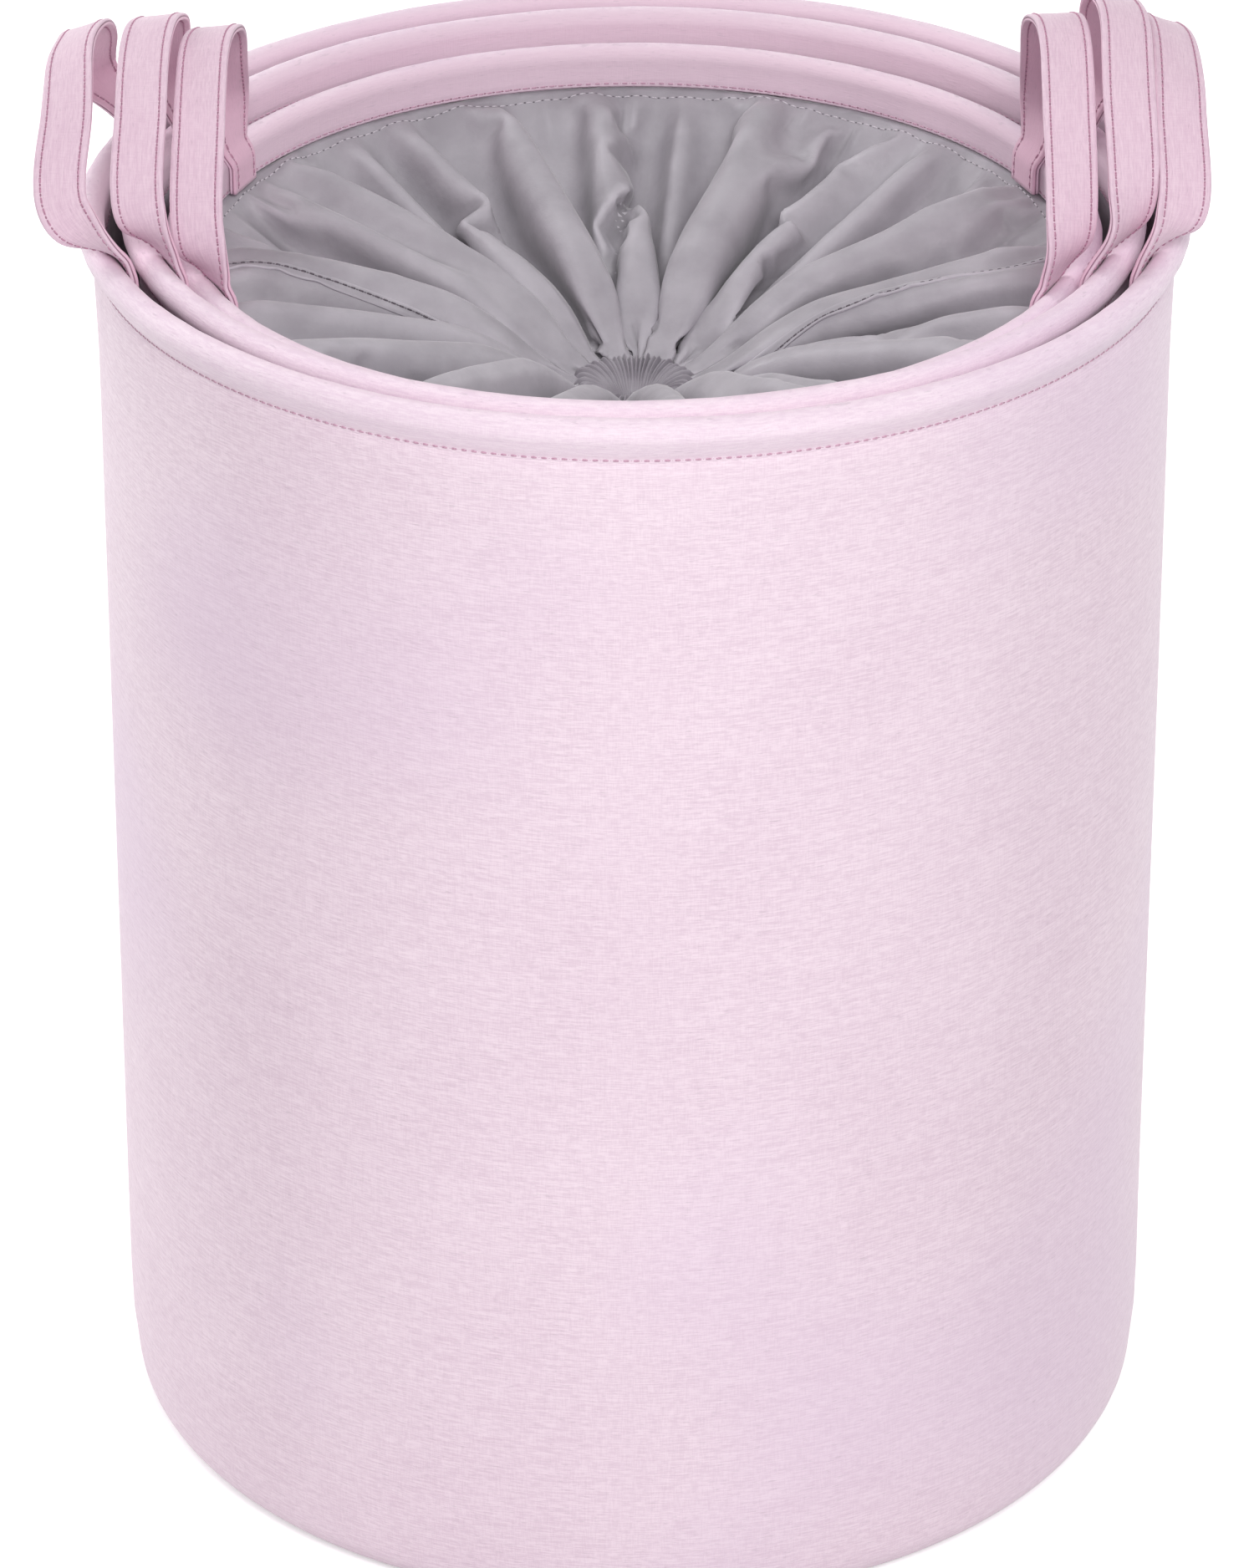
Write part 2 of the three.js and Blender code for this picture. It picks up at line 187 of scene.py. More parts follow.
def unit(vectors):
    return vectors / np.maximum(np.linalg.norm(vectors, axis=-1, keepdims=True), 1e-12)


# Stitches: each is a short thread that dives into the cloth at both ends, beside a needle hole
STITCH_SIDES = 6
STITCH_RUN_SHARES = (0.17, 0.27, 0.5, 0.73, 0.83)
STITCH_LIFT_SHARES = (-0.9, 0.25, 0.55, 0.25, -0.9)
STITCH_GIRTH_SHARES = (0.6, 1.0, 1.0, 1.0, 0.6)


def stitch_rows(name, lines, materials, thread=THREAD_RADIUS, hole=NEEDLE_HOLE_RADIUS):
    """Stitches along lines of needle holes. A line is its points and the cloth's outward normals there."""
    points, faces, slots = [], [], []
    angles = turns(STITCH_SIDES)
    for holes, normals in lines:
        normals = unit(normals)
        start, end = holes[:-1], holes[1:]
        along = unit(end - start)
        out = unit(normals[:-1] + normals[1:])
        side = unit(np.cross(along, out))
        for k in range(len(start)):
            base = len(points)
            for run, lift, girth in zip(STITCH_RUN_SHARES, STITCH_LIFT_SHARES, STITCH_GIRTH_SHARES):
                centre = start[k] + (end[k] - start[k]) * run + out[k] * lift * thread
                points += [
                    centre + thread * girth * (math.cos(a) * out[k] + math.sin(a) * side[k]) for a in angles
                ]
            stations = len(STITCH_RUN_SHARES)
            quads = grid_faces(stations, STITCH_SIDES, True, False) + base
            faces += quads[:, ::-1].tolist()
            faces += [[base + n for n in range(STITCH_SIDES)]]
            faces += [[base + (stations - 1) * STITCH_SIDES + n for n in reversed(range(STITCH_SIDES))]]
            slots += [0] * (len(quads) + 2)
        # Each needle hole is a small dark disc: painted shade inside the hole.
        if hole:
            sides = unit(np.cross(np.gradient(holes, axis=0), normals))
            runs = unit(np.cross(normals, sides))
            for k in range(len(holes)):
                base = len(points)
                rim = [
                    holes[k] + hole * (math.cos(a) * runs[k] * 1.2 + math.sin(a) * sides[k] * 0.8)
                    + normals[k] * hole * 0.06
                    for a in angles
                ]
                points += rim + [holes[k] + normals[k] * hole * 0.2]
                faces += [[base + n, base + (n + 1) % STITCH_SIDES, base + STITCH_SIDES] for n in range(STITCH_SIDES)]
                slots += [1] * STITCH_SIDES
    made = mesh_object(name, np.array(points), faces, materials)
    made.data.polygons.foreach_set("material_index", slots)
    return made


def round_line(radius, height, out, up, pitch):
    """Needle holes round a ring, and the way the cloth faces there: out and up are its normal's parts."""
    count = max(8, round(FULL_TURN * radius / pitch))
    turn = np.linspace(0, FULL_TURN, count + 1)
    return on_ring(radius, turn, np.full_like(turn, height)), on_ring(out, turn, np.full_like(turn, up))


# Materials


def srgb(red, green, blue):
    """A colour written as on screen, 0 to 255, in Blender's linear values."""
    shares = [c / 255.0 for c in (red, green, blue)]
    return [s / 12.92 if s <= 0.04045 else ((s + 0.055) / 1.055) ** 2.4 for s in shares] + [1.0]


def new_material(name):
    made = bpy.data.materials.new(name)
    made.use_nodes = True
    return made, made.node_tree, made.node_tree.nodes["Principled BSDF"]


def node(tree, kind, inputs=(), **settings):
    """A shader node with its settings made and its inputs set or linked."""
    made = tree.nodes.new(kind)
    for key, value in settings.items():
        setattr(made, key, value)
    for key, value in dict(inputs).items():
        if isinstance(value, bpy.types.NodeSocket):
            tree.links.new(value, made.inputs[key])
        else:
            made.inputs[key].default_value = value
    return made


def noise(tree, where, scale, detail=2.0, roughness=0.5):
    """Noise stretched by a scale along X, Y and Z, from 0 to 1."""
    mapped = node(tree, "ShaderNodeMapping", {"Vector": where, "Scale": scale})
    made = node(
        tree,
        "ShaderNodeTexNoise",
        {"Vector": mapped.outputs["Vector"], "Scale": 1.0, "Detail": detail, "Roughness": roughness},
    )
    return made.outputs["Fac"]


def ramp(tree, value, low, high, to_low=0.0, to_high=1.0):
    made = node(
        tree,
        "ShaderNodeMapRange",
        {"Value": value, "From Min": low, "From Max": high, "To Min": to_low, "To Max": to_high},
    )
    return made.outputs["Result"]


def blend_colours(tree, share, first, second):
    made = node(tree, "ShaderNodeMix", data_type="RGBA")
    for key, value in {"Factor": share, "A": first, "B": second}.items():
        kind = "VALUE" if key == "Factor" else "RGBA"
        socket = [s for s in made.inputs if s.name == key and s.type == kind][0]
        if isinstance(value, bpy.types.NodeSocket):
            tree.links.new(value, socket)
        else:
            socket.default_value = value
    return [s for s in made.outputs if s.type == "RGBA"][0]


def sums(tree, operation, first, second):
    made = node(tree, "ShaderNodeMath", operation=operation)
    for socket, value in zip(made.inputs, (first, second)):
        if isinstance(value, bpy.types.NodeSocket):
            tree.links.new(value, socket)
        else:
            socket.default_value = value
    return made.outputs[0]


def bump(tree, shader, height, distance, strength=1.0):
    made = node(tree, "ShaderNodeBump", {"Height": height, "Distance": distance, "Strength": strength})
    tree.links.new(made.outputs["Normal"], shader.inputs["Normal"])


def place(tree, attribute=None):
    """Where a point of the cloth is: a stored attribute, or else its place in the object."""
    if attribute:
        return node(tree, "ShaderNodeAttribute", attribute_name=attribute).outputs["Vector"]
    return node(tree, "ShaderNodeTexCoord").outputs["Object"]


# Scales of the canvas's noise, per metre, along a thread and across it
ALONG_THREAD, ACROSS_THREAD = 200, 1900
ALONG_STREAK, ACROSS_STREAK = 30, 1300


def linen(name, light, dark, attribute=None, slub=1.0, inner=None):
    """Linen-like canvas: fine uneven threads both ways, faint long streaks, thicker slubs and short darker flecks.

    The inner face of a strap or hem, where the stored depth is below nought, is painted a deeper pink: painted shade
    and bounced light.
    """
    made, tree, shader = new_material(name)
    where = place(tree, attribute)
    along, across = ALONG_THREAD, ACROSS_THREAD
    if attribute:
        weft_scale, warp_scale = (along, across, across), (across, along, across)
    else:
        weft_scale, warp_scale = (along, along, across), (across, across, along)
    weft = noise(tree, where, weft_scale, 2.0, 0.6)
    warp = noise(tree, where, warp_scale, 2.0, 0.6)
    slubs = noise(tree, where, [s * 0.55 for s in weft_scale], 1.0)
    flecks = ramp(tree, noise(tree, where, [s * 1.15 for s in weft_scale], 1.0), 0.65, 0.74)
    streaks = noise(tree, where, [ALONG_STREAK if s == along else ACROSS_STREAK for s in weft_scale], 1.0)
    broad = noise(tree, where, (9, 9, 9), 2.0)
    threads = sums(tree, "ADD", sums(tree, "MULTIPLY", weft, 0.68), sums(tree, "MULTIPLY", warp, 0.32))
    height = sums(tree, "ADD", threads, sums(tree, "MULTIPLY", ramp(tree, slubs, 0.6, 0.75), 0.2 * slub))
    grain = ramp(tree, threads, 0.42, 0.58, 0.0, 0.56)
    grain = sums(tree, "ADD", grain, ramp(tree, streaks, 0.40, 0.60, 0.0, 0.22))
    tint = sums(tree, "ADD", grain, ramp(tree, broad, 0.32, 0.68, 0.0, 0.22))
    cloth = blend_colours(tree, tint, dark, light)
    patches = ramp(tree, noise(tree, where, (5, 5, 5), 1.0), 0.52, 0.68, 0.0, 0.4)
    cloth = blend_colours(tree, patches, cloth, srgb(228, 204, 227))
    # Painted shade and bounced light: the inner face is given a deeper pink than the outer.
    if inner:
        if attribute:
            depth = node(tree, "ShaderNodeSeparateXYZ", {"Vector": where}).outputs["Z"]
        else:
            depth = node(tree, "ShaderNodeAttribute", attribute_name="depth").outputs["Fac"]
        cloth = blend_colours(tree, ramp(tree, depth, 0.0002, -0.0004, 0.0, 0.75), cloth, inner)
    fleck = [c * 0.66 for c in dark[:3]] + [1.0]
    flecked = blend_colours(tree, sums(tree, "MULTIPLY", flecks, 0.3 * slub), cloth, fleck)
    tree.links.new(flecked, shader.inputs["Base Color"])
    tree.links.new(ramp(tree, threads, 0.3, 0.7, 0.78, 0.62), shader.inputs["Roughness"])
    shader.inputs["Specular IOR Level"].default_value = 0.3
    shader.inputs["Sheen Weight"].default_value = 0.22
    shader.inputs["Sheen Roughness"].default_value = 0.45
    bump(tree, shader, height, 0.0003, 0.5)
    return made


def polyester(name, light, dark, crest_highlight=0.45, shaded=(0.475, 0.40)):
    """Thin satin polyester: a fine even weave, soft crumples, a painted highlight on the creases' crests and painted
    shade in the hollows.
    """
    made, tree, shader = new_material(name)
    where = place(tree)
    crumple = noise(tree, where, (55, 55, 55), 4.0, 0.55)
    weave = noise(tree, where, (2400, 2400, 2400), 1.0)
    threads = noise(tree, where, (120, 120, 2600), 2.0)
    broad = noise(tree, where, (16, 16, 16), 2.0)
    tint = sums(tree, "ADD", ramp(tree, broad, 0.3, 0.7, 0.0, 0.5), ramp(tree, crumple, 0.35, 0.65, 0.0, 0.5))
    cloth = blend_colours(tree, tint, dark, light)
    # Painted light by pointiness: the paler colour on convex crests is a painted highlight, and the much darker one
    # in concave hollows is painted shade.
    bend = node(tree, "ShaderNodeNewGeometry").outputs["Pointiness"]
    paler = [min(1.0, c * 1.7) for c in light[:3]] + [1.0]
    darker = [c * 0.38 for c in dark[:3]] + [1.0]
    crest_highlighted = blend_colours(tree, ramp(tree, bend, 0.52, 0.60, 0.0, crest_highlight), cloth, paler)
    hollow = blend_colours(tree, ramp(tree, bend, *shaded, 0.0, 0.8), crest_highlighted, darker)
    tree.links.new(hollow, shader.inputs["Base Color"])
    tree.links.new(ramp(tree, crumple, 0.3, 0.7, 0.62, 0.44), shader.inputs["Roughness"])
    shader.inputs["Specular IOR Level"].default_value = 0.42
    shader.inputs["Sheen Weight"].default_value = 0.2
    shader.inputs["Sheen Roughness"].default_value = 0.35
    fine = sums(tree, "ADD", sums(tree, "MULTIPLY", weave, 0.05), sums(tree, "MULTIPLY", threads, 0.03))
    bump(tree, shader, sums(tree, "ADD", crumple, fine), 0.0016, 0.6)
    return made


def thread_material(name, light, dark):
    """Twisted sewing thread."""
    made, tree, shader = new_material(name)
    where = place(tree)
    twist = noise(tree, where, (2200, 2200, 2200), 2.0)
    tree.links.new(blend_colours(tree, ramp(tree, twist, 0.35, 0.65), dark, light), shader.inputs["Base Color"])
    tree.links.new(ramp(tree, twist, 0.3, 0.7, 0.7, 0.5), shader.inputs["Roughness"])
    bump(tree, shader, twist, 0.0002, 0.5)
    return made


def plastic(name, light, dark):
    """Plain extruded plastic, drawn lengthwise."""
    made, tree, shader = new_material(name)
    where = place(tree)
    mottle = noise(tree, where, (90, 90, 500), 3.0)
    tree.links.new(blend_colours(tree, mottle, dark, light), shader.inputs["Base Color"])
    tree.links.new(ramp(tree, mottle, 0.3, 0.7, 0.38, 0.52), shader.inputs["Roughness"])
    bump(tree, shader, mottle, 0.0002, 0.3)
    return made


WALL_CLOTH = linen("wall_canvas", srgb(246, 227, 238), srgb(226, 202, 217))
# The inner= colours are painted shade and bounced light on the faces that turn inwards.
HEM_CLOTH = linen("hem_canvas", srgb(247, 229, 240), srgb(233, 210, 226), inner=srgb(225, 197, 212))
STRAP_CLOTH = linen(
    "strap_canvas", srgb(231, 204, 218), srgb(217, 186, 204), "weave", inner=srgb(229, 184, 205)
)
# Painted shade: the notch between the strap's two layers gets this darker canvas.
STRAP_NOTCH_SHADE = linen("strap_seam_shade", srgb(176, 132, 154), srgb(150, 108, 130), "weave")
BASE_CLOTH = linen("base_canvas", srgb(238, 214, 228), srgb(222, 196, 212))
BINDING = linen("binding_tape", srgb(228, 220, 226), srgb(208, 200, 206), slub=0.2)
COVER_CLOTH = polyester("cover_polyester", srgb(176, 171, 178), srgb(152, 147, 154))
# The gathers are the cover's own polyester in a darker copy with more hollow shade: painted shade round the mouth.
SHADED_GATHER_CLOTH = polyester("gather_polyester", srgb(160, 154, 162), srgb(128, 122, 130), 0.2, (0.5, 0.44))
CORD_CLOTH = thread_material("cord_polyester", srgb(232, 228, 230), srgb(205, 200, 204))
PINK_THREAD = thread_material("pink_thread", srgb(206, 166, 186), srgb(180, 138, 160))
STRAP_THREAD = thread_material("strap_thread", srgb(198, 148, 172), srgb(168, 120, 144))
PALE_THREAD = thread_material("pale_thread", srgb(222, 216, 222), srgb(190, 184, 192))
# Dark seam thread: real stitches whose dark colour is painted shade, the seam's shadow line on the cover.
SEAM_SHADOW_THREAD = thread_material("dark_thread", srgb(104, 96, 104), srgb(72, 64, 72))
# The hole materials are painted shade: dark discs where the needle holes are.
NEEDLE_HOLE_SHADE = thread_material("needle_hole", srgb(168, 120, 142), srgb(140, 96, 118))
COVER_HOLE_SHADE = thread_material("cover_hole", srgb(104, 98, 106), srgb(84, 78, 86))
HOOP_PLASTIC = plastic("hoop_plastic", srgb(222, 220, 216), srgb(204, 201, 196))


# Measures of each hamper, read from the CAD boxes


def frame_joint(name):
    return [j for j in frame["joints"] if j["name"] == name][0]


class Hamper:
    def __init__(self, name):
        self.name = name
        wall_low, wall_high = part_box(name + "_wall")
        hem_low, hem_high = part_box(name + "_rim_hem")
        hoop_low, hoop_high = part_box(name + "_rim_hoop")
        panel_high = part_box(name + "_base_panel")[1]
        self.wall_radius = wall_high.x
        self.wall_inner = wall_high.x - WALL_THICKNESS
        self.wall_top = wall_high.z
        self.underside = wall_low.z
        self.floor = panel_high.z
        self.panel_radius = panel_high.x - PANEL_EDGE_INSET - FOOT_TAPER
        self.hem_bottom = hem_low.z
        self.top = hem_high.z
        self.hoop_radius = hoop_high.x - HOOP_DIAMETER / 2
        self.hoop_height = (hoop_low.z + hoop_high.z) / 2
        self.crown = HOOP_DIAMETER / 2 + HEM_FABRIC
        self.hem_inner = self.hoop_radius - self.crown
        self.base = name + "_base"
        self.rim = name + "_rim"
        self.collapse = name + "_collapse"

    def joint(self, name):
        return frame_joint(self.name + "_" + name)

    def collapsed_share(self):
        """How much of the wall's height is left when the rim is pushed right down."""
        travel = -min(self.joint("collapse")["range_m"])
        return (self.wall_top - self.underside - travel) / (self.wall_top - self.underside)


HAMPERS = [Hamper(name) for name in ("large", "medium", "small")]
SMALL = HAMPERS[-1]


def tapered(radius, height, h):
    """The cloth draws in a little towards the foot."""
    return radius - FOOT_TAPER * (1 - smooth((height - h.underside) / FOOT_TAPER_HEIGHT))


WALL_AROUND = 360
WALL_SWELL = 0.0010
SWELL_LENGTH = 0.045
LIP_DROP = 0.0016


def wall(h):
    """A stiff canvas tube. It swells a little under the hem, and its foot curls in under the base panel."""
    corner = h.wall_radius - CORNER_RADIUS
    foot = h.underside + CORNER_RADIUS
    lip = h.hem_bottom - LIP_DROP
    outside = arc(corner, foot, CORNER_RADIUS, -90, 0, 9)
    outside += [[h.wall_radius, z] for z in np.linspace(foot, lip - SWELL_LENGTH, 26)[1:]]
    for z in np.linspace(lip - SWELL_LENGTH, lip, 8)[1:]:
        outside.append([h.wall_radius + WALL_SWELL * float(smooth((z - lip + SWELL_LENGTH) / SWELL_LENGTH)), z])
    outside += [[h.wall_radius + 0.0002, lip + 0.004], [h.wall_radius, h.wall_top]]
    inside = [[h.wall_inner, h.wall_top], [h.wall_inner, lip]]
    inside += [[h.wall_inner, z] for z in np.linspace(lip, foot, 20)[1:]]
    inside += arc(corner, foot, CORNER_RADIUS - WALL_THICKNESS, 0, -90, 9)

    def waver(r, z, turn):
        share = smooth((z - foot) / 0.08) * smooth((lip + 0.01 - z) / 0.06)
        wave = ripple(turn, (2, 3, 5, 8), h.name) * np.sin(z * 9.0 + 1.3)
        wave = wave + 0.5 * ripple(turn, (9, 13, 17), h.name + "b")
        return tapered(r + share * 0.0004 * wave, z, h), z

    made = grid_object(h.name + "_wall_canvas", turned(outside + inside, WALL_AROUND, waver), WALL_CLOTH)
    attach(made, h.base)
    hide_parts(h.name + "_wall")
    h.collapsed_share()
    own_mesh(made)
    return made


def base_panel(h):
    """The sewn-in bottom: a stiff disc in canvas, with soft edges."""
    edge = 0.0009
    rows = [[0.00001, h.underside]]
    rows += [[r, h.underside] for r in np.linspace(0.01, h.panel_radius - 0.01, 8)]
    rows += arc(h.panel_radius - edge, h.underside + edge, edge, -90, 0, 3)
    rows += arc(h.panel_radius - edge, h.floor - edge, edge, 0, 90, 3)
    rows += [[r, h.floor] for r in np.linspace(h.panel_radius - 0.01, 0.01, 8)]
    rows += [[0.00001, h.floor]]
    made = grid_object(h.name + "_base_disc", turned(rows, 180), BASE_CLOTH)
    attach(made, h.base)
    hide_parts(h.name + "_base_panel")


def base_binding(h):
    """Woven tape along the inside of the corner, stitched along its middle."""
    corner = h.wall_radius - CORNER_RADIUS
    foot = h.underside + CORNER_RADIUS
    outer = CORNER_RADIUS - WALL_THICKNESS - 0.0003
    inner = outer - 0.0011
    rows = arc(corner, foot, outer, -88, 0, 8) + arc(corner, foot, inner, 0, -88, 8)
    rows = [[tapered(r, z, h), z] for r, z in rows]
    made = grid_object(h.name + "_binding", turned(rows, 240), BINDING)
    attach(made, h.base)
    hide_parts(h.name + "_base_binding")
    middle = corner + inner * math.cos(math.radians(-45))
    height = foot + inner * math.sin(math.radians(-45))
    line = round_line(tapered(middle, height, h), height, -1, 1, HEM_STITCH)
    sewn = stitch_rows(h.name + "_binding_stitches", [line], [PALE_THREAD, NEEDLE_HOLE_SHADE])
    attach(sewn, h.base)


HEM_STEPS_PER_STITCH = 3


def hem(h):
    """Canvas folded over the hoop: a plump crown that tapers to the stitching on both sides."""
    lip = h.hem_bottom - LIP_DROP
    row = h.hem_bottom
    row_out = h.wall_radius + 0.0010
    outward, upward = h.hoop_radius - row_out, h.hoop_height - row
    below = math.hypot(upward, outward)
    touch = math.degrees(math.asin(h.crown / below)) + math.degrees(math.atan2(outward, upward))
    taper_top = h.hoop_height - h.crown * math.sin(math.radians(touch))
    taper_out = h.hoop_radius + h.crown * math.cos(math.radians(touch))
    outside = [[h.wall_radius + 0.0004, lip], [h.wall_radius + 0.00085, lip + 0.0004]]
    outside += [[row_out + 0.0001, row - 0.0006], [row_out, row], [row_out + 0.0003, row + 0.0009]]
    for share in np.linspace(0, 1, 9)[1:-1]:
        eased = share + 0.10 * share * (1 - share)
        outside.append([
            row_out + 0.0003 + (taper_out - row_out - 0.0003) * eased,
            row + 0.0009 + (taper_top - row - 0.0009) * share,
        ])
    crown = arc(h.hoop_radius, h.hoop_height, h.crown, -touch, 185, 22)
    inside_row = h.hem_inner + 0.0004
    inside = [[h.hem_inner + 0.0001, z] for z in np.linspace(h.hoop_height - 0.002, row + 0.0022, 5)]
    inside += [[inside_row, row + 0.0014], [h.hem_inner + 0.0001, row + 0.0006]]
    inside += [[h.hem_inner + 0.0005, row + 0.0001]]
    back = [[h.wall_inner - 0.0003, row + 0.0002], [h.wall_inner - 0.0003, h.hoop_height - 0.0046]]
    back += arc(h.hoop_radius, h.hoop_height, HOOP_DIAMETER / 2 + 0.0003, 200, -30, 12)
    back += [[h.wall_radius + 0.0003, row + 0.002], [h.wall_radius + 0.0003, lip + 0.0004]]
    stitches = round(FULL_TURN * h.wall_radius / HEM_STITCH)
    around = stitches * HEM_STEPS_PER_STITCH

    def plump(r, z, turn):
        crown_share = smooth((z - row) / (h.hoop_height - row))
        outward = np.sign(r - h.hoop_radius + 0.001)
        swell = 0.00022 * ripple(turn, (7, 11, 17, 29), h.name)
        swell = swell + 0.00012 * ripple(turn, (41, 67, 83), h.name + "c")
        near = np.exp(-(((z - row) / 0.0025) ** 2))
        pucker = -0.00016 * np.cos(stitches * turn) * near
        lift = 0.00035 * ripple(turn, (3, 5, 9), h.name + "d") * crown_share
        return r + outward * (swell * crown_share + pucker), z + lift * (z > row + 0.003)

    profile = outside + crown + inside + back
    made = grid_object(h.name + "_hem_band", turned(profile, around, plump), HEM_CLOTH)
    depth = np.clip([(r - h.hoop_radius) / h.crown for r, _ in profile], -1.0, 1.0) * 0.0006
    stored = made.data.attributes.new("depth", "FLOAT", "POINT")
    stored.data.foreach_set("value", np.repeat(depth, around).astype(np.float32))
    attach(made, h.rim)
    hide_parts(h.name + "_rim_hem")
    outer_line = round_line(row_out, row, 1, 0, HEM_STITCH)
    inner_line = round_line(inside_row, row + 0.0014, -1, 0, HEM_STITCH)
    lines = [outer_line, inner_line]
    threads = [PINK_THREAD, NEEDLE_HOLE_SHADE]
    sewn = stitch_rows(h.name + "_hem_stitches", lines, threads, HEM_THREAD_RADIUS, HEM_HOLE_RADIUS)
    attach(sewn, h.rim)


# Strap handles: how high each stands over its hinge, how far outside it, how many degrees its top slopes down
# outwards, and how high its front leg's twist is
STRAP_SHAPES = {
    "large_left": (0.057, 0.0200, 26, 0.023), "large_right": (0.061, 0.0120, 24, 0.034),
    "medium_left": (0.063, 0.0100, 9, 0.033), "medium_right": (0.071, 0.0106, 12, 0.050),
    "small_left": (0.067, 0.0060, 8, 0.029), "small_right": (0.073, 0.0060, -3, 0.044),
}
BACK_LEG_INWARD = 0.0042
TWIST_START = -0.0055
BACK_TWIST_HEIGHT = 0.052
SIDES = {"left": -1, "right": 1}
STRAP_CROSS_SHARE = 0.8
STRAP_UPPER_CHORD_SHARE = 0.62
STRAP_STATIONS = 150
SEAM_INSET = 0.0026
STRAP_SEAM_SHARE = 0.89

# Half of the strap's section, across its width and through its thickness, in shares of their halves
STRAP_FACE_SHARES = [
    (0.93, 0.0), (0.985, 0.16), (1.0, 0.45), (0.985, 0.72), (0.95, 0.92), (0.89, 1.0), (0.80, 0.96),
    (0.745, 0.91), (0.725, 0.88), (0.705, 0.91), (0.64, 0.96), (0.5, 1.0), (0.25, 0.98), (0.0, 0.97),
]


def catmull_rom(points, samples=60):
    """The same centripetal curve as the CAD strap's middle line, as many close points."""
    points = np.asarray(points, float)
    padded = np.vstack([2 * points[0] - points[1], points, 2 * points[-1] - points[-2]])
    line = []
    for k in range(len(points) - 1):
        p0, p1, p2, p3 = padded[k : k + 4]
        d0, d1, d2 = (max(np.linalg.norm(b - a), 1e-9) ** 0.5 for a, b in ((p0, p1), (p1, p2), (p2, p3)))
        t1 = ((p1 - p0) / d0 - (p2 - p0) / (d0 + d1) + (p2 - p1) / d1) * d1
        t2 = ((p2 - p1) / d1 - (p3 - p1) / (d1 + d2) + (p3 - p2) / d2) * d1
        for t in np.linspace(0, 1, samples, endpoint=False):
            c2 = -3 * p1 + 3 * p2 - 2 * t1 - t2
            c3 = 2 * p1 - 2 * p2 + t1 + t2
            line.append(p1 + t1 * t + c2 * t * t + c3 * t * t * t)
    line.append(points[-1])
    return np.array(line)


class Strap:
    """A strap's middle line, and the ways its width and its face lie, from one sewn end to the other."""

    def __init__(self, h, side_name):
        self.h = h
        self.side_name = side_name
        side = SIDES[side_name]
        rise, lean, slope, twist_height = STRAP_SHAPES[h.name + "_" + side_name]
        pivot = h.joint("handle_" + side_name + "_swing")["pos_m"]
        self.out = abs(pivot[0])
        self.height = pivot[2]
        leaned = self.out + lean
        shoulder = STRAP_HALF_CHORD + STRAP_SHOULDER_SPREAD
        leg = [
            (self.out, STRAP_HALF_CHORD, 0),
            (leaned, shoulder, STRAP_SHOULDER_HEIGHT),
            (leaned, shoulder * STRAP_UPPER_CHORD_SHARE, rise * STRAP_CROSS_SHARE),
        ]
        over = [(x, -y, z) for x, y, z in leg] + [(leaned, 0, rise)] + leg[::-1]
        loop = catmull_rom([(side * x, y, self.height + z) for x, y, z in over])
        sewn_middle = h.hem_inner * math.cos(math.pi / 44) - 0.0003 - STRAP_THICKNESS / 2
        sewn_x = math.sqrt(sewn_middle**2 - STRAP_HALF_CHORD**2)
        end_low = h.top - STRAP_END_LENGTH
        settle = h.top - 0.004
        front = [(side * sewn_x, -STRAP_HALF_CHORD, z) for z in np.linspace(end_low, settle, 12)]
        line = np.vstack([front, loop, [(x, -y, z) for x, y, z in front[::-1]]])
        steps = np.linalg.norm(np.diff(line, axis=0), axis=1)
        run = np.concatenate([[0], np.cumsum(steps)])
        self.length = run[-1]
        self.run = np.linspace(0, self.length, STRAP_STATIONS)
        fine = np.stack([np.interp(self.run, run, line[:, k]) for k in range(3)], -1)
        for _ in range(2):
            fine[1:-1] = (fine[:-2] + 2 * fine[1:-1] + fine[2:]) / 4
        free = smooth((fine[:, 2] - h.top) / 0.02)
        fine[:, 0] -= side * BACK_LEG_INWARD * free * smooth((fine[:, 1] + 0.02) / 0.07)
        self.middle = fine
        self.tangent = unit(np.gradient(fine, axis=0))
        end = np.where(self.run < self.length / 2, -1.0, 1.0)[:, None]
        height = np.where(end < 0, twist_height, BACK_TWIST_HEIGHT)[:, 0]
        twist = smooth((fine[:, 2] - h.top - TWIST_START) / height)[:, None]
        round_rim = [np.full_like(end, side * STRAP_HALF_CHORD), -end * sewn_x, 0 * end]
        round_rim = unit(np.concatenate(round_rim, 1))
        width = round_rim * (1 - twist) + np.array([[side, 0.0, 0.0]]) * twist
        width = unit(width - self.tangent * (width * self.tangent).sum(1, keepdims=True))
        face = np.cross(self.tangent, width)
        tilt = math.radians(slope) * np.exp(-((fine[:, 1:2] / 0.042) ** 2))
        self.width = width * np.cos(tilt) + side * face * np.sin(tilt)
        self.face = np.cross(self.tangent, self.width)

    def at(self, run, across, through):
        """Points of the strap, by distance along it, across it and through it."""
        def sampled(values):
            return np.stack([np.interp(run, self.run, values[:, k]) for k in range(3)], -1)

        across = np.asarray(across)[..., None]
        through = np.asarray(through)[..., None]
        return sampled(self.middle) + sampled(self.width) * across + sampled(self.face) * through


def strap_section():
    """The strap's outline: two layers, rounded at the edges, a notch between them and a dip along each seam."""
    quarter = STRAP_FACE_SHARES
    right_top = quarter
    left_top = [(-w, t) for w, t in quarter[-2::-1]]
    left_bottom = [(w, -t) for w, t in left_top[-2::-1]]
    right_bottom = [(w, -t) for w, t in quarter[-1:0:-1]]
    outline = right_top + left_top + left_bottom + right_bottom
    return np.array(outline) * [STRAP_WIDTH / 2, STRAP_THICKNESS / 2]


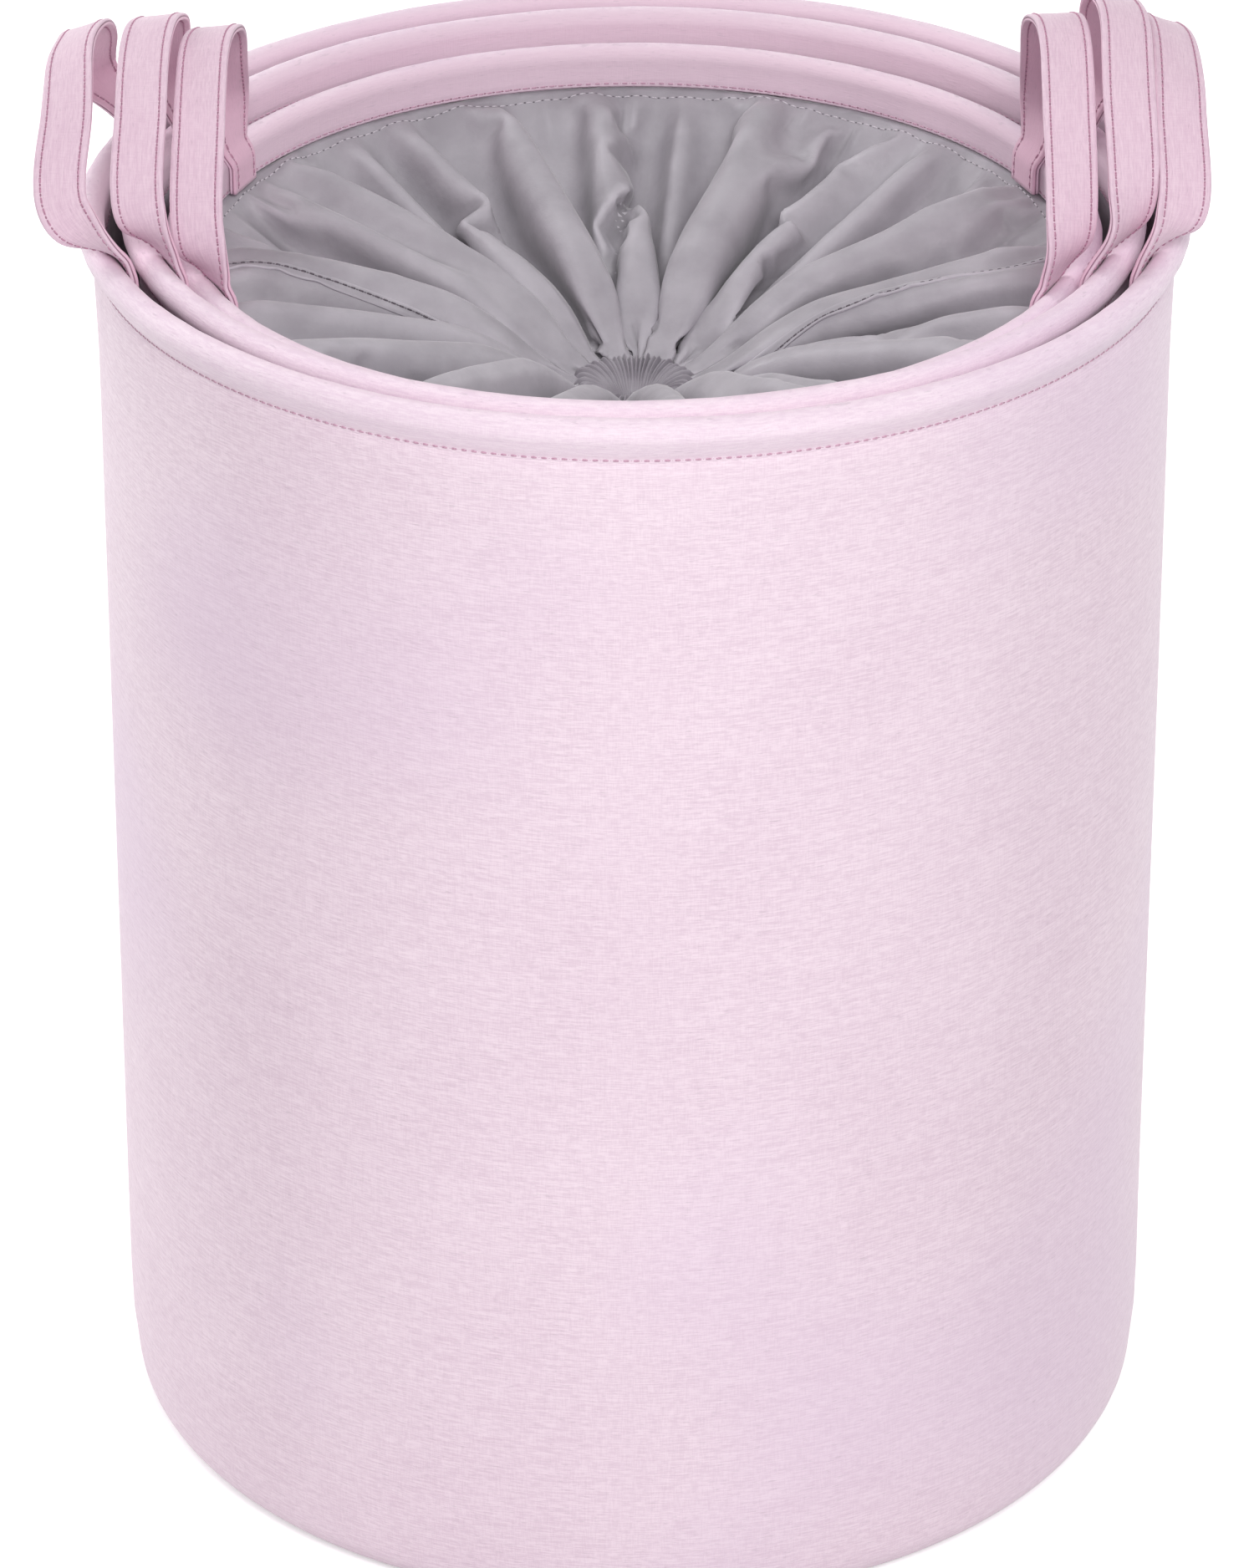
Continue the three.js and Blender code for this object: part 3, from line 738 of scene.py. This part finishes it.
def strap(h, side_name):
    line = Strap(h, side_name)
    name = h.name + "_strap_" + side_name
    section = strap_section()
    columns = len(section)
    draw = random.Random(name)
    run = line.run
    wave = 0.00035 * np.sin(run * 60 + draw.uniform(0, 6)) + 0.0003 * np.sin(run * 143 + draw.uniform(0, 6))
    wide = 1 + 0.012 * np.sin(run * 75 + draw.uniform(0, 6))
    calm = smooth(np.minimum(run, line.length - run) / 0.03)
    across = section[None, :, 0] * (1 + (wide - 1) * calm)[:, None]
    through = section[None, :, 1] + (wave * calm)[:, None]
    points = (
        line.middle[:, None] + line.width[:, None] * across[..., None] + line.face[:, None] * through[..., None]
    )
    made = grid_object(name, points, [STRAP_CLOTH, STRAP_NOTCH_SHADE], True, False, cap=True)
    weave = made.data.attributes.new("weave", "FLOAT_VECTOR", "POINT")
    outside = math.copysign(1.0, line.face[len(run) // 2, 2])
    stored = np.stack([np.repeat(run, columns), across.reshape(-1), outside * through.reshape(-1)], -1)
    weave.data.foreach_set("vector", stored.reshape(-1).astype(np.float32))
    # The notch faces take the second slot, the painted shade in the notch.
    low_edge = np.abs(section[:, 1]) < STRAP_THICKNESS / 2 * 0.3
    slots = []
    for polygon in made.data.polygons:
        columns_used = {v % columns for v in polygon.vertices}
        slots.append(1 if len(columns_used) == 2 and all(low_edge[c] for c in columns_used) else 0)
    made.data.polygons.foreach_set("material_index", slots)
    stitches = round((line.length - 0.004) / STRAP_STITCH)
    at = np.linspace(0.002, line.length - 0.002, stitches + 1)
    lines = []
    calm_at = np.interp(at, run, wave * calm)
    for edge in (-1, 1):
        inset = edge * (STRAP_WIDTH / 2 - SEAM_INSET)
        for face in (-1, 1):
            depth = face * STRAP_THICKNESS / 2 * STRAP_SEAM_SHARE + calm_at
            holes = line.at(at, np.full_like(at, inset), depth)
            away = line.at(at, np.full_like(at, inset), depth + face * 0.001) - holes
            lines.append((holes, away))
    threads = [STRAP_THREAD, NEEDLE_HOLE_SHADE]
    sewn = stitch_rows(name + "_stitches", lines, threads, STRAP_THREAD_RADIUS, STRAP_HOLE_RADIUS)
    body = h.name + "_handle_" + side_name
    for piece in (made, sewn):
        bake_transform(piece)
    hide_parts(body, body + "_front_end", body + "_back_end")


# Covers. A tucked one goes with its rim.
TUCKED_FOLDS = 46


def tucked_cover(h):
    """A grey sleeve tucked down inside its wall, in soft upright folds, with a casing along its edge."""
    low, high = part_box(h.name + "_cover")
    outer = high.x
    casing = CORD_DIAMETER + 0.0012
    rows = [[outer, z] for z in np.linspace(high.z, low.z + 0.0008, 34)]
    rows += arc(outer - casing / 2, low.z + casing / 2, casing / 2, -10, -170, 6)
    rows += [[outer - casing, z] for z in np.linspace(low.z + 0.003, low.z + 0.012, 4)]

    def hang(r, z, turn):
        depth = smooth((high.z - z) / 0.06)
        phase = TUCKED_FOLDS * turn + 1.4 * ripple(turn, (3, 5, 8), h.name + "hang") + 3.0 * (high.z - z)
        fold = (0.5 + 0.5 * np.sin(phase)) * (0.8 + 0.4 * ripple(turn, (7, 11), h.name + "deep"))
        return r - 0.0004 - 0.0024 * depth * fold, z + 0.0012 * depth * ripple(turn, (4, 7, 12), h.name + "hem")

    face = turned(rows, 720, hang)
    made = cloth_object(h.name + "_cover_sleeve", face, 0.0005, COVER_CLOTH)
    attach(made, h.rim)
    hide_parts(h.name + "_cover")
    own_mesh(made)
    cord_low, cord_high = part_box(h.name + "_drawstring")
    centre = cord_high.x - CORD_DIAMETER / 2
    height = (cord_low.z + cord_high.z) / 2
    cord = twisted_ring(h.name + "_cover_cord", centre - 0.0002, height, CORD_DIAMETER * 0.36, 220)
    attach(cord, h.rim)
    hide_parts(h.name + "_drawstring")
    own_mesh(cord)


def grid_normals(face):
    """Normals of a grid that closes round."""
    round_way = np.roll(face, -1, 1) - np.roll(face, 1, 1)
    return unit(np.cross(round_way, np.gradient(face, axis=0)))


def cloth_object(name, face, thickness, material):
    """A thin closed cloth: a face, and its other side a thickness away along the face's normals."""
    other = face - grid_normals(face) * thickness
    return grid_object(name, np.concatenate([face, other[::-1]]), material)


def twisted_ring(name, radius, height, strand, lays):
    """A two-strand cord laid round a ring: its section turns as it goes round."""
    around = lays * 8
    turn = turns(around)
    sides = turns(14)
    outline = strand * (1.0 + 0.42 * np.cos(2 * sides))
    twist = lays * turn
    angle = sides[None, :] + twist[:, None]
    r = radius + outline[None, :] * np.cos(angle)
    z = height + outline[None, :] * np.sin(angle)
    return grid_object(name, on_ring(r, turn[:, None], z), CORD_CLOTH)


# The drawn cover: a sleeve of thin cloth whose lower edge is drawn together, in the folds that it falls into
COVER_LENGTH = 0.168
COVER_FACE = 0.0006
SLEEVE_GRID = (256, 37)
COVER_STITCH_ROW = 2
DRAWN_PLEATS = 34
CLOSING_FRAMES = 36
SETTLING_FRAMES = 12
SIDE_SEAMS = {"left": (182.0, 185.0), "right": (0.0, -3.0)}
SEAM_WIDTH = 0.0045
SEAM_RISE = 0.0013
SEAM_OUTLINE = [
    (-1.0, -0.2), (-1.02, 0.5), (-0.9, 0.95), (-0.45, 0.55), (0.3, 0.5), (0.9, 0.7), (1.02, 0.35), (1.0, -0.2),
]
SEAM_STITCH = 0.0032
SEAM_THREAD_RADIUS = 0.00034
SEAM_HOLE_RADIUS = 0.0005


def fold_phase(turn):
    """Waves round the sleeve, at uneven spacing."""
    return 17 * turn + 1.0 * np.sin(3 * turn + 0.5) + 0.75 * np.sin(5 * turn + 1.9) + 0.4 * np.sin(8 * turn + 4.0)


def drawn_sleeve(rim_radius, rim_height, mouth_radius, mouth_height, columns, rows):
    """Cloth simulation: a sleeve held at the rim, its lower edge drawn to the mouth, as a grid of points."""
    turn = turns(columns)[None, :]
    share = np.linspace(0, 1, rows)[:, None]
    phase = fold_phase(turn)
    slack = 0.006 * share * (1 + np.sin(phase)) * (1 + 0.3 * ripple(turn, (4, 7, 11), "a"))
    radius = rim_radius - slack
    height = np.broadcast_to(rim_height - COVER_LENGTH * share, radius.shape)
    hanging = on_ring(radius, turn, height)
    pleats = np.cos(DRAWN_PLEATS / 17 * phase)
    drawn_radius = mouth_radius + 0.0012 * pleats
    drawn = hanging.copy()
    drawn[-1] = on_ring(drawn_radius, turn, mouth_height + 0.004 * pleats)[0]

    sleeve = mesh_object("sleeve", hanging, grid_faces(rows, columns, True, False).tolist(), COVER_CLOTH)
    sleeve.shape_key_add(name="hanging")
    key = sleeve.shape_key_add(name="drawn")
    key.data.foreach_set("co", drawn.reshape(-1))
    last = CLOSING_FRAMES + SETTLING_FRAMES
    for frame_at, value in ((1, 0.0), (CLOSING_FRAMES, 1.0)):
        key.value = value
        key.keyframe_insert("value", frame=frame_at)
    held = sleeve.vertex_groups.new(name="held")
    held.add(list(range(columns)) + list(range((rows - 1) * columns, rows * columns)), 1.0, "REPLACE")
    cloth = sleeve.modifiers.new("cloth", "CLOTH")
    settings = cloth.settings
    settings.vertex_group_mass = "held"
    settings.quality = 9
    settings.mass = 0.15
    settings.air_damping = 1.0
    settings.tension_stiffness = settings.compression_stiffness = 60
    settings.shear_stiffness = 20
    settings.bending_stiffness = 60
    settings.tension_damping = settings.compression_damping = settings.shear_damping = 5
    settings.bending_damping = 0.5
    touching = cloth.collision_settings
    touching.use_collision = False
    touching.use_self_collision = True
    touching.self_distance_min = 0.0016
    touching.collision_quality = 3
    touching.self_friction = 2
    cloth.point_cache.frame_start = 1
    cloth.point_cache.frame_end = last
    scene = bpy.context.scene
    first = scene.frame_current
    scene.frame_start, scene.frame_end = 1, last
    for at in range(1, last + 1):
        scene.frame_set(at)
    settled = sleeve.evaluated_get(bpy.context.evaluated_depsgraph_get())
    points = np.empty(rows * columns * 3)
    settled.data.vertices.foreach_get("co", points)
    action = sleeve.data.shape_keys.animation_data.action
    mesh = sleeve.data
    bpy.data.objects.remove(sleeve)
    bpy.data.meshes.remove(mesh)
    bpy.data.actions.remove(action)
    scene.frame_set(first)
    return points.reshape(rows, columns, 3)


def refined(face):
    """A grid of points made twice as fine both ways by cubic curves. Its rows close round."""
    for axis in (1, 0):
        face = np.moveaxis(face, axis, 0)
        if axis:
            before, after, beyond = np.roll(face, 1, 0), np.roll(face, -1, 0), np.roll(face, -2, 0)
            between = (9 * (face + after) - before - beyond) / 16
            face = np.stack([face, between], 1).reshape(-1, *face.shape[1:])
        else:
            padded = np.concatenate([2 * face[:1] - face[1:2], face, 2 * face[-1:] - face[-2:-1]])
            between = (9 * (padded[1:-2] + padded[2:-1]) - padded[:-3] - padded[3:]) / 16
            finer = np.empty((2 * len(face) - 1, *face.shape[1:]))
            finer[0::2], finer[1::2] = face, between
            face = finer
        face = np.moveaxis(face, 0, axis)
    return face


def settled(face):
    """The folds lie lower and flatter beside the mouth, so that its gathers show."""
    radius = np.hypot(face[..., 0], face[..., 1])
    near = 1 - smooth((radius - 0.020) / 0.055)
    middle = face[..., 2].mean(1, keepdims=True)
    flat = face.copy()
    flat[..., 2] = middle + (face[..., 2] - middle) * (1 - 0.72 * near) - 0.0022 * near
    return flat


def crisp(face, share=1.3, reach=3):
    """The folds' crests and valleys made sharper, less towards the mouth, where they crowd."""
    near = sum(np.roll(face, k, 1) for k in range(-reach, reach + 1)) / (2 * reach + 1)
    radius = np.hypot(face[..., 0], face[..., 1])[..., None]
    amount = share * smooth((radius - 0.024) / 0.03) * smooth((SMALL.wall_inner - 0.002 - radius) / 0.02)
    return face + amount * (face - near)


def follow_cover(piece):
    """The piece is part of the drawn cover: it goes with the rim."""
    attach(piece, SMALL.rim)
    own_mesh(piece)


def drawn_cover():
    # Rounded, because the folds that the simulation makes depend on every digit
    rim_radius = round(SMALL.wall_inner - 0.0004, 4)
    mouth_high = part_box("small_cover_mouth")[1]
    columns, rows = SLEEVE_GRID
    face = drawn_sleeve(
        rim_radius, SMALL.hem_bottom - 0.0004, mouth_high.x + 0.0002, mouth_high.z - 0.0005, columns, rows
    )
    face = refined(settled(crisp(face)))
    made = cloth_object("small_cover_cloth", face, COVER_FACE, COVER_CLOTH)
    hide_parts("small_cover")
    follow_cover(made)
    normals = grid_normals(face)
    if normals[..., 2].sum() < 0:
        normals = -normals
    for side_name in SIDE_SEAMS:
        cover_seam(side_name, face, normals)
    turn = np.linspace(0, face.shape[1], round(FULL_TURN * rim_radius / HEM_STITCH) + 1)
    at, away = face[COVER_STITCH_ROW], normals[COVER_STITCH_ROW]
    at = np.concatenate([at, at[:1]])
    away = np.concatenate([away, away[:1]])
    whole = np.arange(len(at))
    line = [np.stack([np.interp(turn, whole, values[:, k]) for k in range(3)], -1) for values in (at, away)]
    sewn = stitch_rows("small_cover_stitches", [tuple(line)], [PALE_THREAD, COVER_HOLE_SHADE])
    follow_cover(sewn)


def cover_seam(side_name, face, normals):
    """A felled side seam down the drawn cover: a narrow raised fold, puckered along its row of stitches."""
    rows = np.arange(2, len(face) - 6)
    columns = face.shape[1]
    start, end = SIDE_SEAMS[side_name]
    column = (start + (end - start) * smooth(rows / len(face))) / 360.0 * columns
    left = np.floor(column).astype(int)
    part = (column - left)[:, None]
    right = (left + 1) % columns
    left = left % columns
    path, away = (v[rows, left] * (1 - part) + v[rows, right] * part for v in (face, normals))
    steps = np.linalg.norm(np.diff(path, axis=0), axis=1)
    run = np.concatenate([[0], np.cumsum(steps)])
    at = np.linspace(0, run[-1], 3 * round(run[-1] / SEAM_STITCH) + 1)
    path, away = (np.stack([np.interp(at, run, v[:, k]) for k in range(3)], -1) for v in (path, away))
    away = unit(away)
    along = unit(np.gradient(path, axis=0))
    side = unit(np.cross(along, away))
    half = SEAM_WIDTH / 2
    draw = random.Random("seam" + side_name)
    tuck = 0.5 + 0.5 * np.sin(at * 260 + 3 * np.sin(at * 71 + draw.uniform(0, 6)))
    pinch = 1 - 0.30 * tuck**3
    rise = SEAM_RISE * (0.75 + 0.5 * tuck)
    ring = [path + side * (w * half * pinch)[:, None] + away * (t * rise)[:, None] for w, t in SEAM_OUTLINE]
    points = np.stack(ring, 1)
    made = grid_object("small_cover_seam_" + side_name, points, COVER_CLOTH, True, False, cap=True)
    follow_cover(made)
    holes = path[::3] + side[::3] * (-0.42 * half * pinch[::3])[:, None] + away[::3] * (0.56 * rise[::3])[:, None]
    lines = [(holes, away[::3])]
    # Real stitches in a dark colour that is painted shade: the seam's shadow line.
    threads = [SEAM_SHADOW_THREAD, COVER_HOLE_SHADE]
    sewn_name = "small_cover_seam_stitches_" + side_name
    sewn = stitch_rows(sewn_name, lines, threads, SEAM_THREAD_RADIUS, SEAM_HOLE_RADIUS)
    follow_cover(sewn)


# The gathers: how many pleats, and their middle line, outwards and upwards from the solid's top edge
RUFFLES = 58
RUFFLE_PROFILE = [
    (0.0066, 0.0002), (0.0058, 0.0022), (0.0044, 0.0036), (0.0026, 0.0038),
    (-0.0002, 0.0028), (-0.0030, 0.0012), (-0.0056, -0.0012), (-0.0082, -0.0050),
]


def cover_mouth():
    """The gathered casing round the drawstring: uneven pleats that run over its edge and down into the hole."""
    low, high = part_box("small_cover_mouth")
    cord_low, cord_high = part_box("small_drawstring")
    outer = high.x
    rows = [[outer + out, high.z + up] for out, up in RUFFLE_PROFILE] + [[outer - 0.0108, low.z + 0.0012]]
    fine = np.linspace(0, len(rows) - 1, 3 * len(rows) - 2)
    rows = np.stack([np.interp(fine, range(len(rows)), [row[k] for row in rows]) for k in (0, 1)], -1)

    def ruffle(r, z, turn):
        phase = RUFFLES * turn + 1.6 * ripple(turn, (3, 7, 11), "crowd")
        phase = phase + 90 * (outer - r) * ripple(turn, (5, 9), "lean")
        depth = (0.7 + 0.3 * ripple(turn, (4, 9, 14, 23), "ruffle")) * (0.7 + 0.3 * np.cos(phase * 0.5))
        inward = smooth((outer - r) / 0.012)
        pleat = np.cos(phase) * depth
        edge = smooth((r - outer) / 0.0066)
        ragged = 0.0020 * ripple(turn, (5, 8, 13, 21), "ragged") * edge
        r = r + pleat * (0.0012 - 0.0005 * inward) + ragged
        return r, z + pleat * (0.0020 - 0.0008 * inward) * (1 - 0.4 * edge)

    face = turned(rows, RUFFLES * 12, ruffle)
    made = cloth_object("small_cover_ruffle", face, 0.0004, SHADED_GATHER_CLOTH)
    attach(made, "cover_mouth")
    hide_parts("small_cover_mouth")
    centre = cord_high.x - CORD_DIAMETER / 2
    cord = twisted_ring("small_cover_cord", centre, (cord_low.z + cord_high.z) / 2, CORD_DIAMETER * 0.36, 26)
    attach(cord, "cover_mouth")
    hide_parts("small_drawstring")


for hamper in HAMPERS:
    wall(hamper)
    base_panel(hamper)
    base_binding(hamper)
    hem(hamper)
    for side_name in SIDES:
        strap(hamper, side_name)
    hoop = frame["nodes"][hamper.name + "_rim_hoop"]
    hoop.data.materials.clear()
    hoop.data.materials.append(HOOP_PLASTIC)
for hamper in HAMPERS[:2]:
    tucked_cover(hamper)
drawn_cover()
cover_mouth()


# Stage, lights and camera


def seen(tree):
    """Rays that see the backdrop: from the camera, and by way of gloss or glass."""
    path = node(tree, "ShaderNodeLightPath")
    share = sums(tree, "MAXIMUM", path.outputs["Is Camera Ray"], path.outputs["Is Glossy Ray"])
    return sums(tree, "MAXIMUM", share, path.outputs["Is Transmission Ray"])


def floor():
    made, tree, shader = new_material("pale_floor")
    tree.nodes.remove(shader)
    out = tree.nodes["Material Output"]
    mottle = noise(tree, place(tree), (3, 3, 3), 2.0)
    shade = blend_colours(tree, mottle, srgb(236, 236, 236), srgb(240, 240, 240))
    matt = node(tree, "ShaderNodeBsdfDiffuse", {"Color": shade})
    away = node(tree, "ShaderNodeVectorMath", {0: place(tree)}, operation="LENGTH").outputs["Value"]
    strength = ramp(tree, away, 0.9, 2.2, 0.45, 1.0)
    glow = node(tree, "ShaderNodeEmission", {"Color": (1, 1, 1, 1), "Strength": strength})
    both = node(tree, "ShaderNodeAddShader")
    tree.links.new(matt.outputs[0], both.inputs[0])
    tree.links.new(glow.outputs[0], both.inputs[1])
    pick = node(tree, "ShaderNodeMixShader", {"Fac": seen(tree)})
    tree.links.new(matt.outputs[0], pick.inputs[1])
    tree.links.new(both.outputs[0], pick.inputs[2])
    tree.links.new(pick.outputs[0], out.inputs["Surface"])
    size = 4.0
    corners = [(-size, -size, 0), (size, -size, 0), (size, size, 0), (-size, size, 0)]
    plane = mesh_object("floor", corners, [[0, 1, 2, 3]], made, False)
    plane.location.z = -0.0002


def world():
    made = bpy.data.worlds.new("studio")
    bpy.context.scene.world = made
    made.use_nodes = True
    tree = made.node_tree
    tree.nodes.clear()
    ambient = node(tree, "ShaderNodeBackground", {"Color": (1, 1, 1, 1), "Strength": 0.37})
    white = node(tree, "ShaderNodeBackground", {"Color": (1, 1, 1, 1), "Strength": 1.0})
    pick = node(tree, "ShaderNodeMixShader", {"Fac": seen(tree)})
    tree.links.new(ambient.outputs[0], pick.inputs[1])
    tree.links.new(white.outputs[0], pick.inputs[2])
    out = node(tree, "ShaderNodeOutputWorld")
    tree.links.new(pick.outputs[0], out.inputs["Surface"])


def softbox(name, place_at, aim, size, power):
    lamp = bpy.data.lights.new(name, "AREA")
    lamp.shape = "RECTANGLE"
    lamp.size, lamp.size_y = size
    lamp.energy = power
    made = bpy.data.objects.new(name, lamp)
    bpy.context.scene.collection.objects.link(made)
    made.location = place_at
    made.rotation_euler = (Vector(aim) - Vector(place_at)).to_track_quat("-Z", "Y").to_euler()


def camera():
    lens = bpy.data.cameras.new("camera")
    lens.sensor_width = 36.0
    lens.lens = 174.02
    lens.shift_x = -0.00447
    lens.shift_y = 0.00267
    lens.clip_end = 50.0
    made = bpy.data.objects.new("camera", lens)
    bpy.context.scene.collection.objects.link(made)
    made.location = (0.0, -2.5948, 1.6084)
    made.rotation_euler = (math.radians(90.0 - 27.632), 0.0, 0.0)
    bpy.context.scene.camera = made


floor()
world()
softbox("front_box", (0.3, -2.2, 1.98), (0, 0, 0.3), (0.9, 0.8), 43.5)
softbox("top_box", (-0.6, 0.6, 1.9), (0, 0, 0.45), (0.4, 0.4), 5.5)
softbox("left_box", (-1.75, 1.35, 0.9), (0, 0, 0.3), (0.5, 1.6), 24.0)
softbox("right_box", (1.7, 1.5, 0.9), (0, 0, 0.3), (0.5, 1.6), 13.0)
camera()
bpy.context.scene.view_settings.view_transform = "Standard"
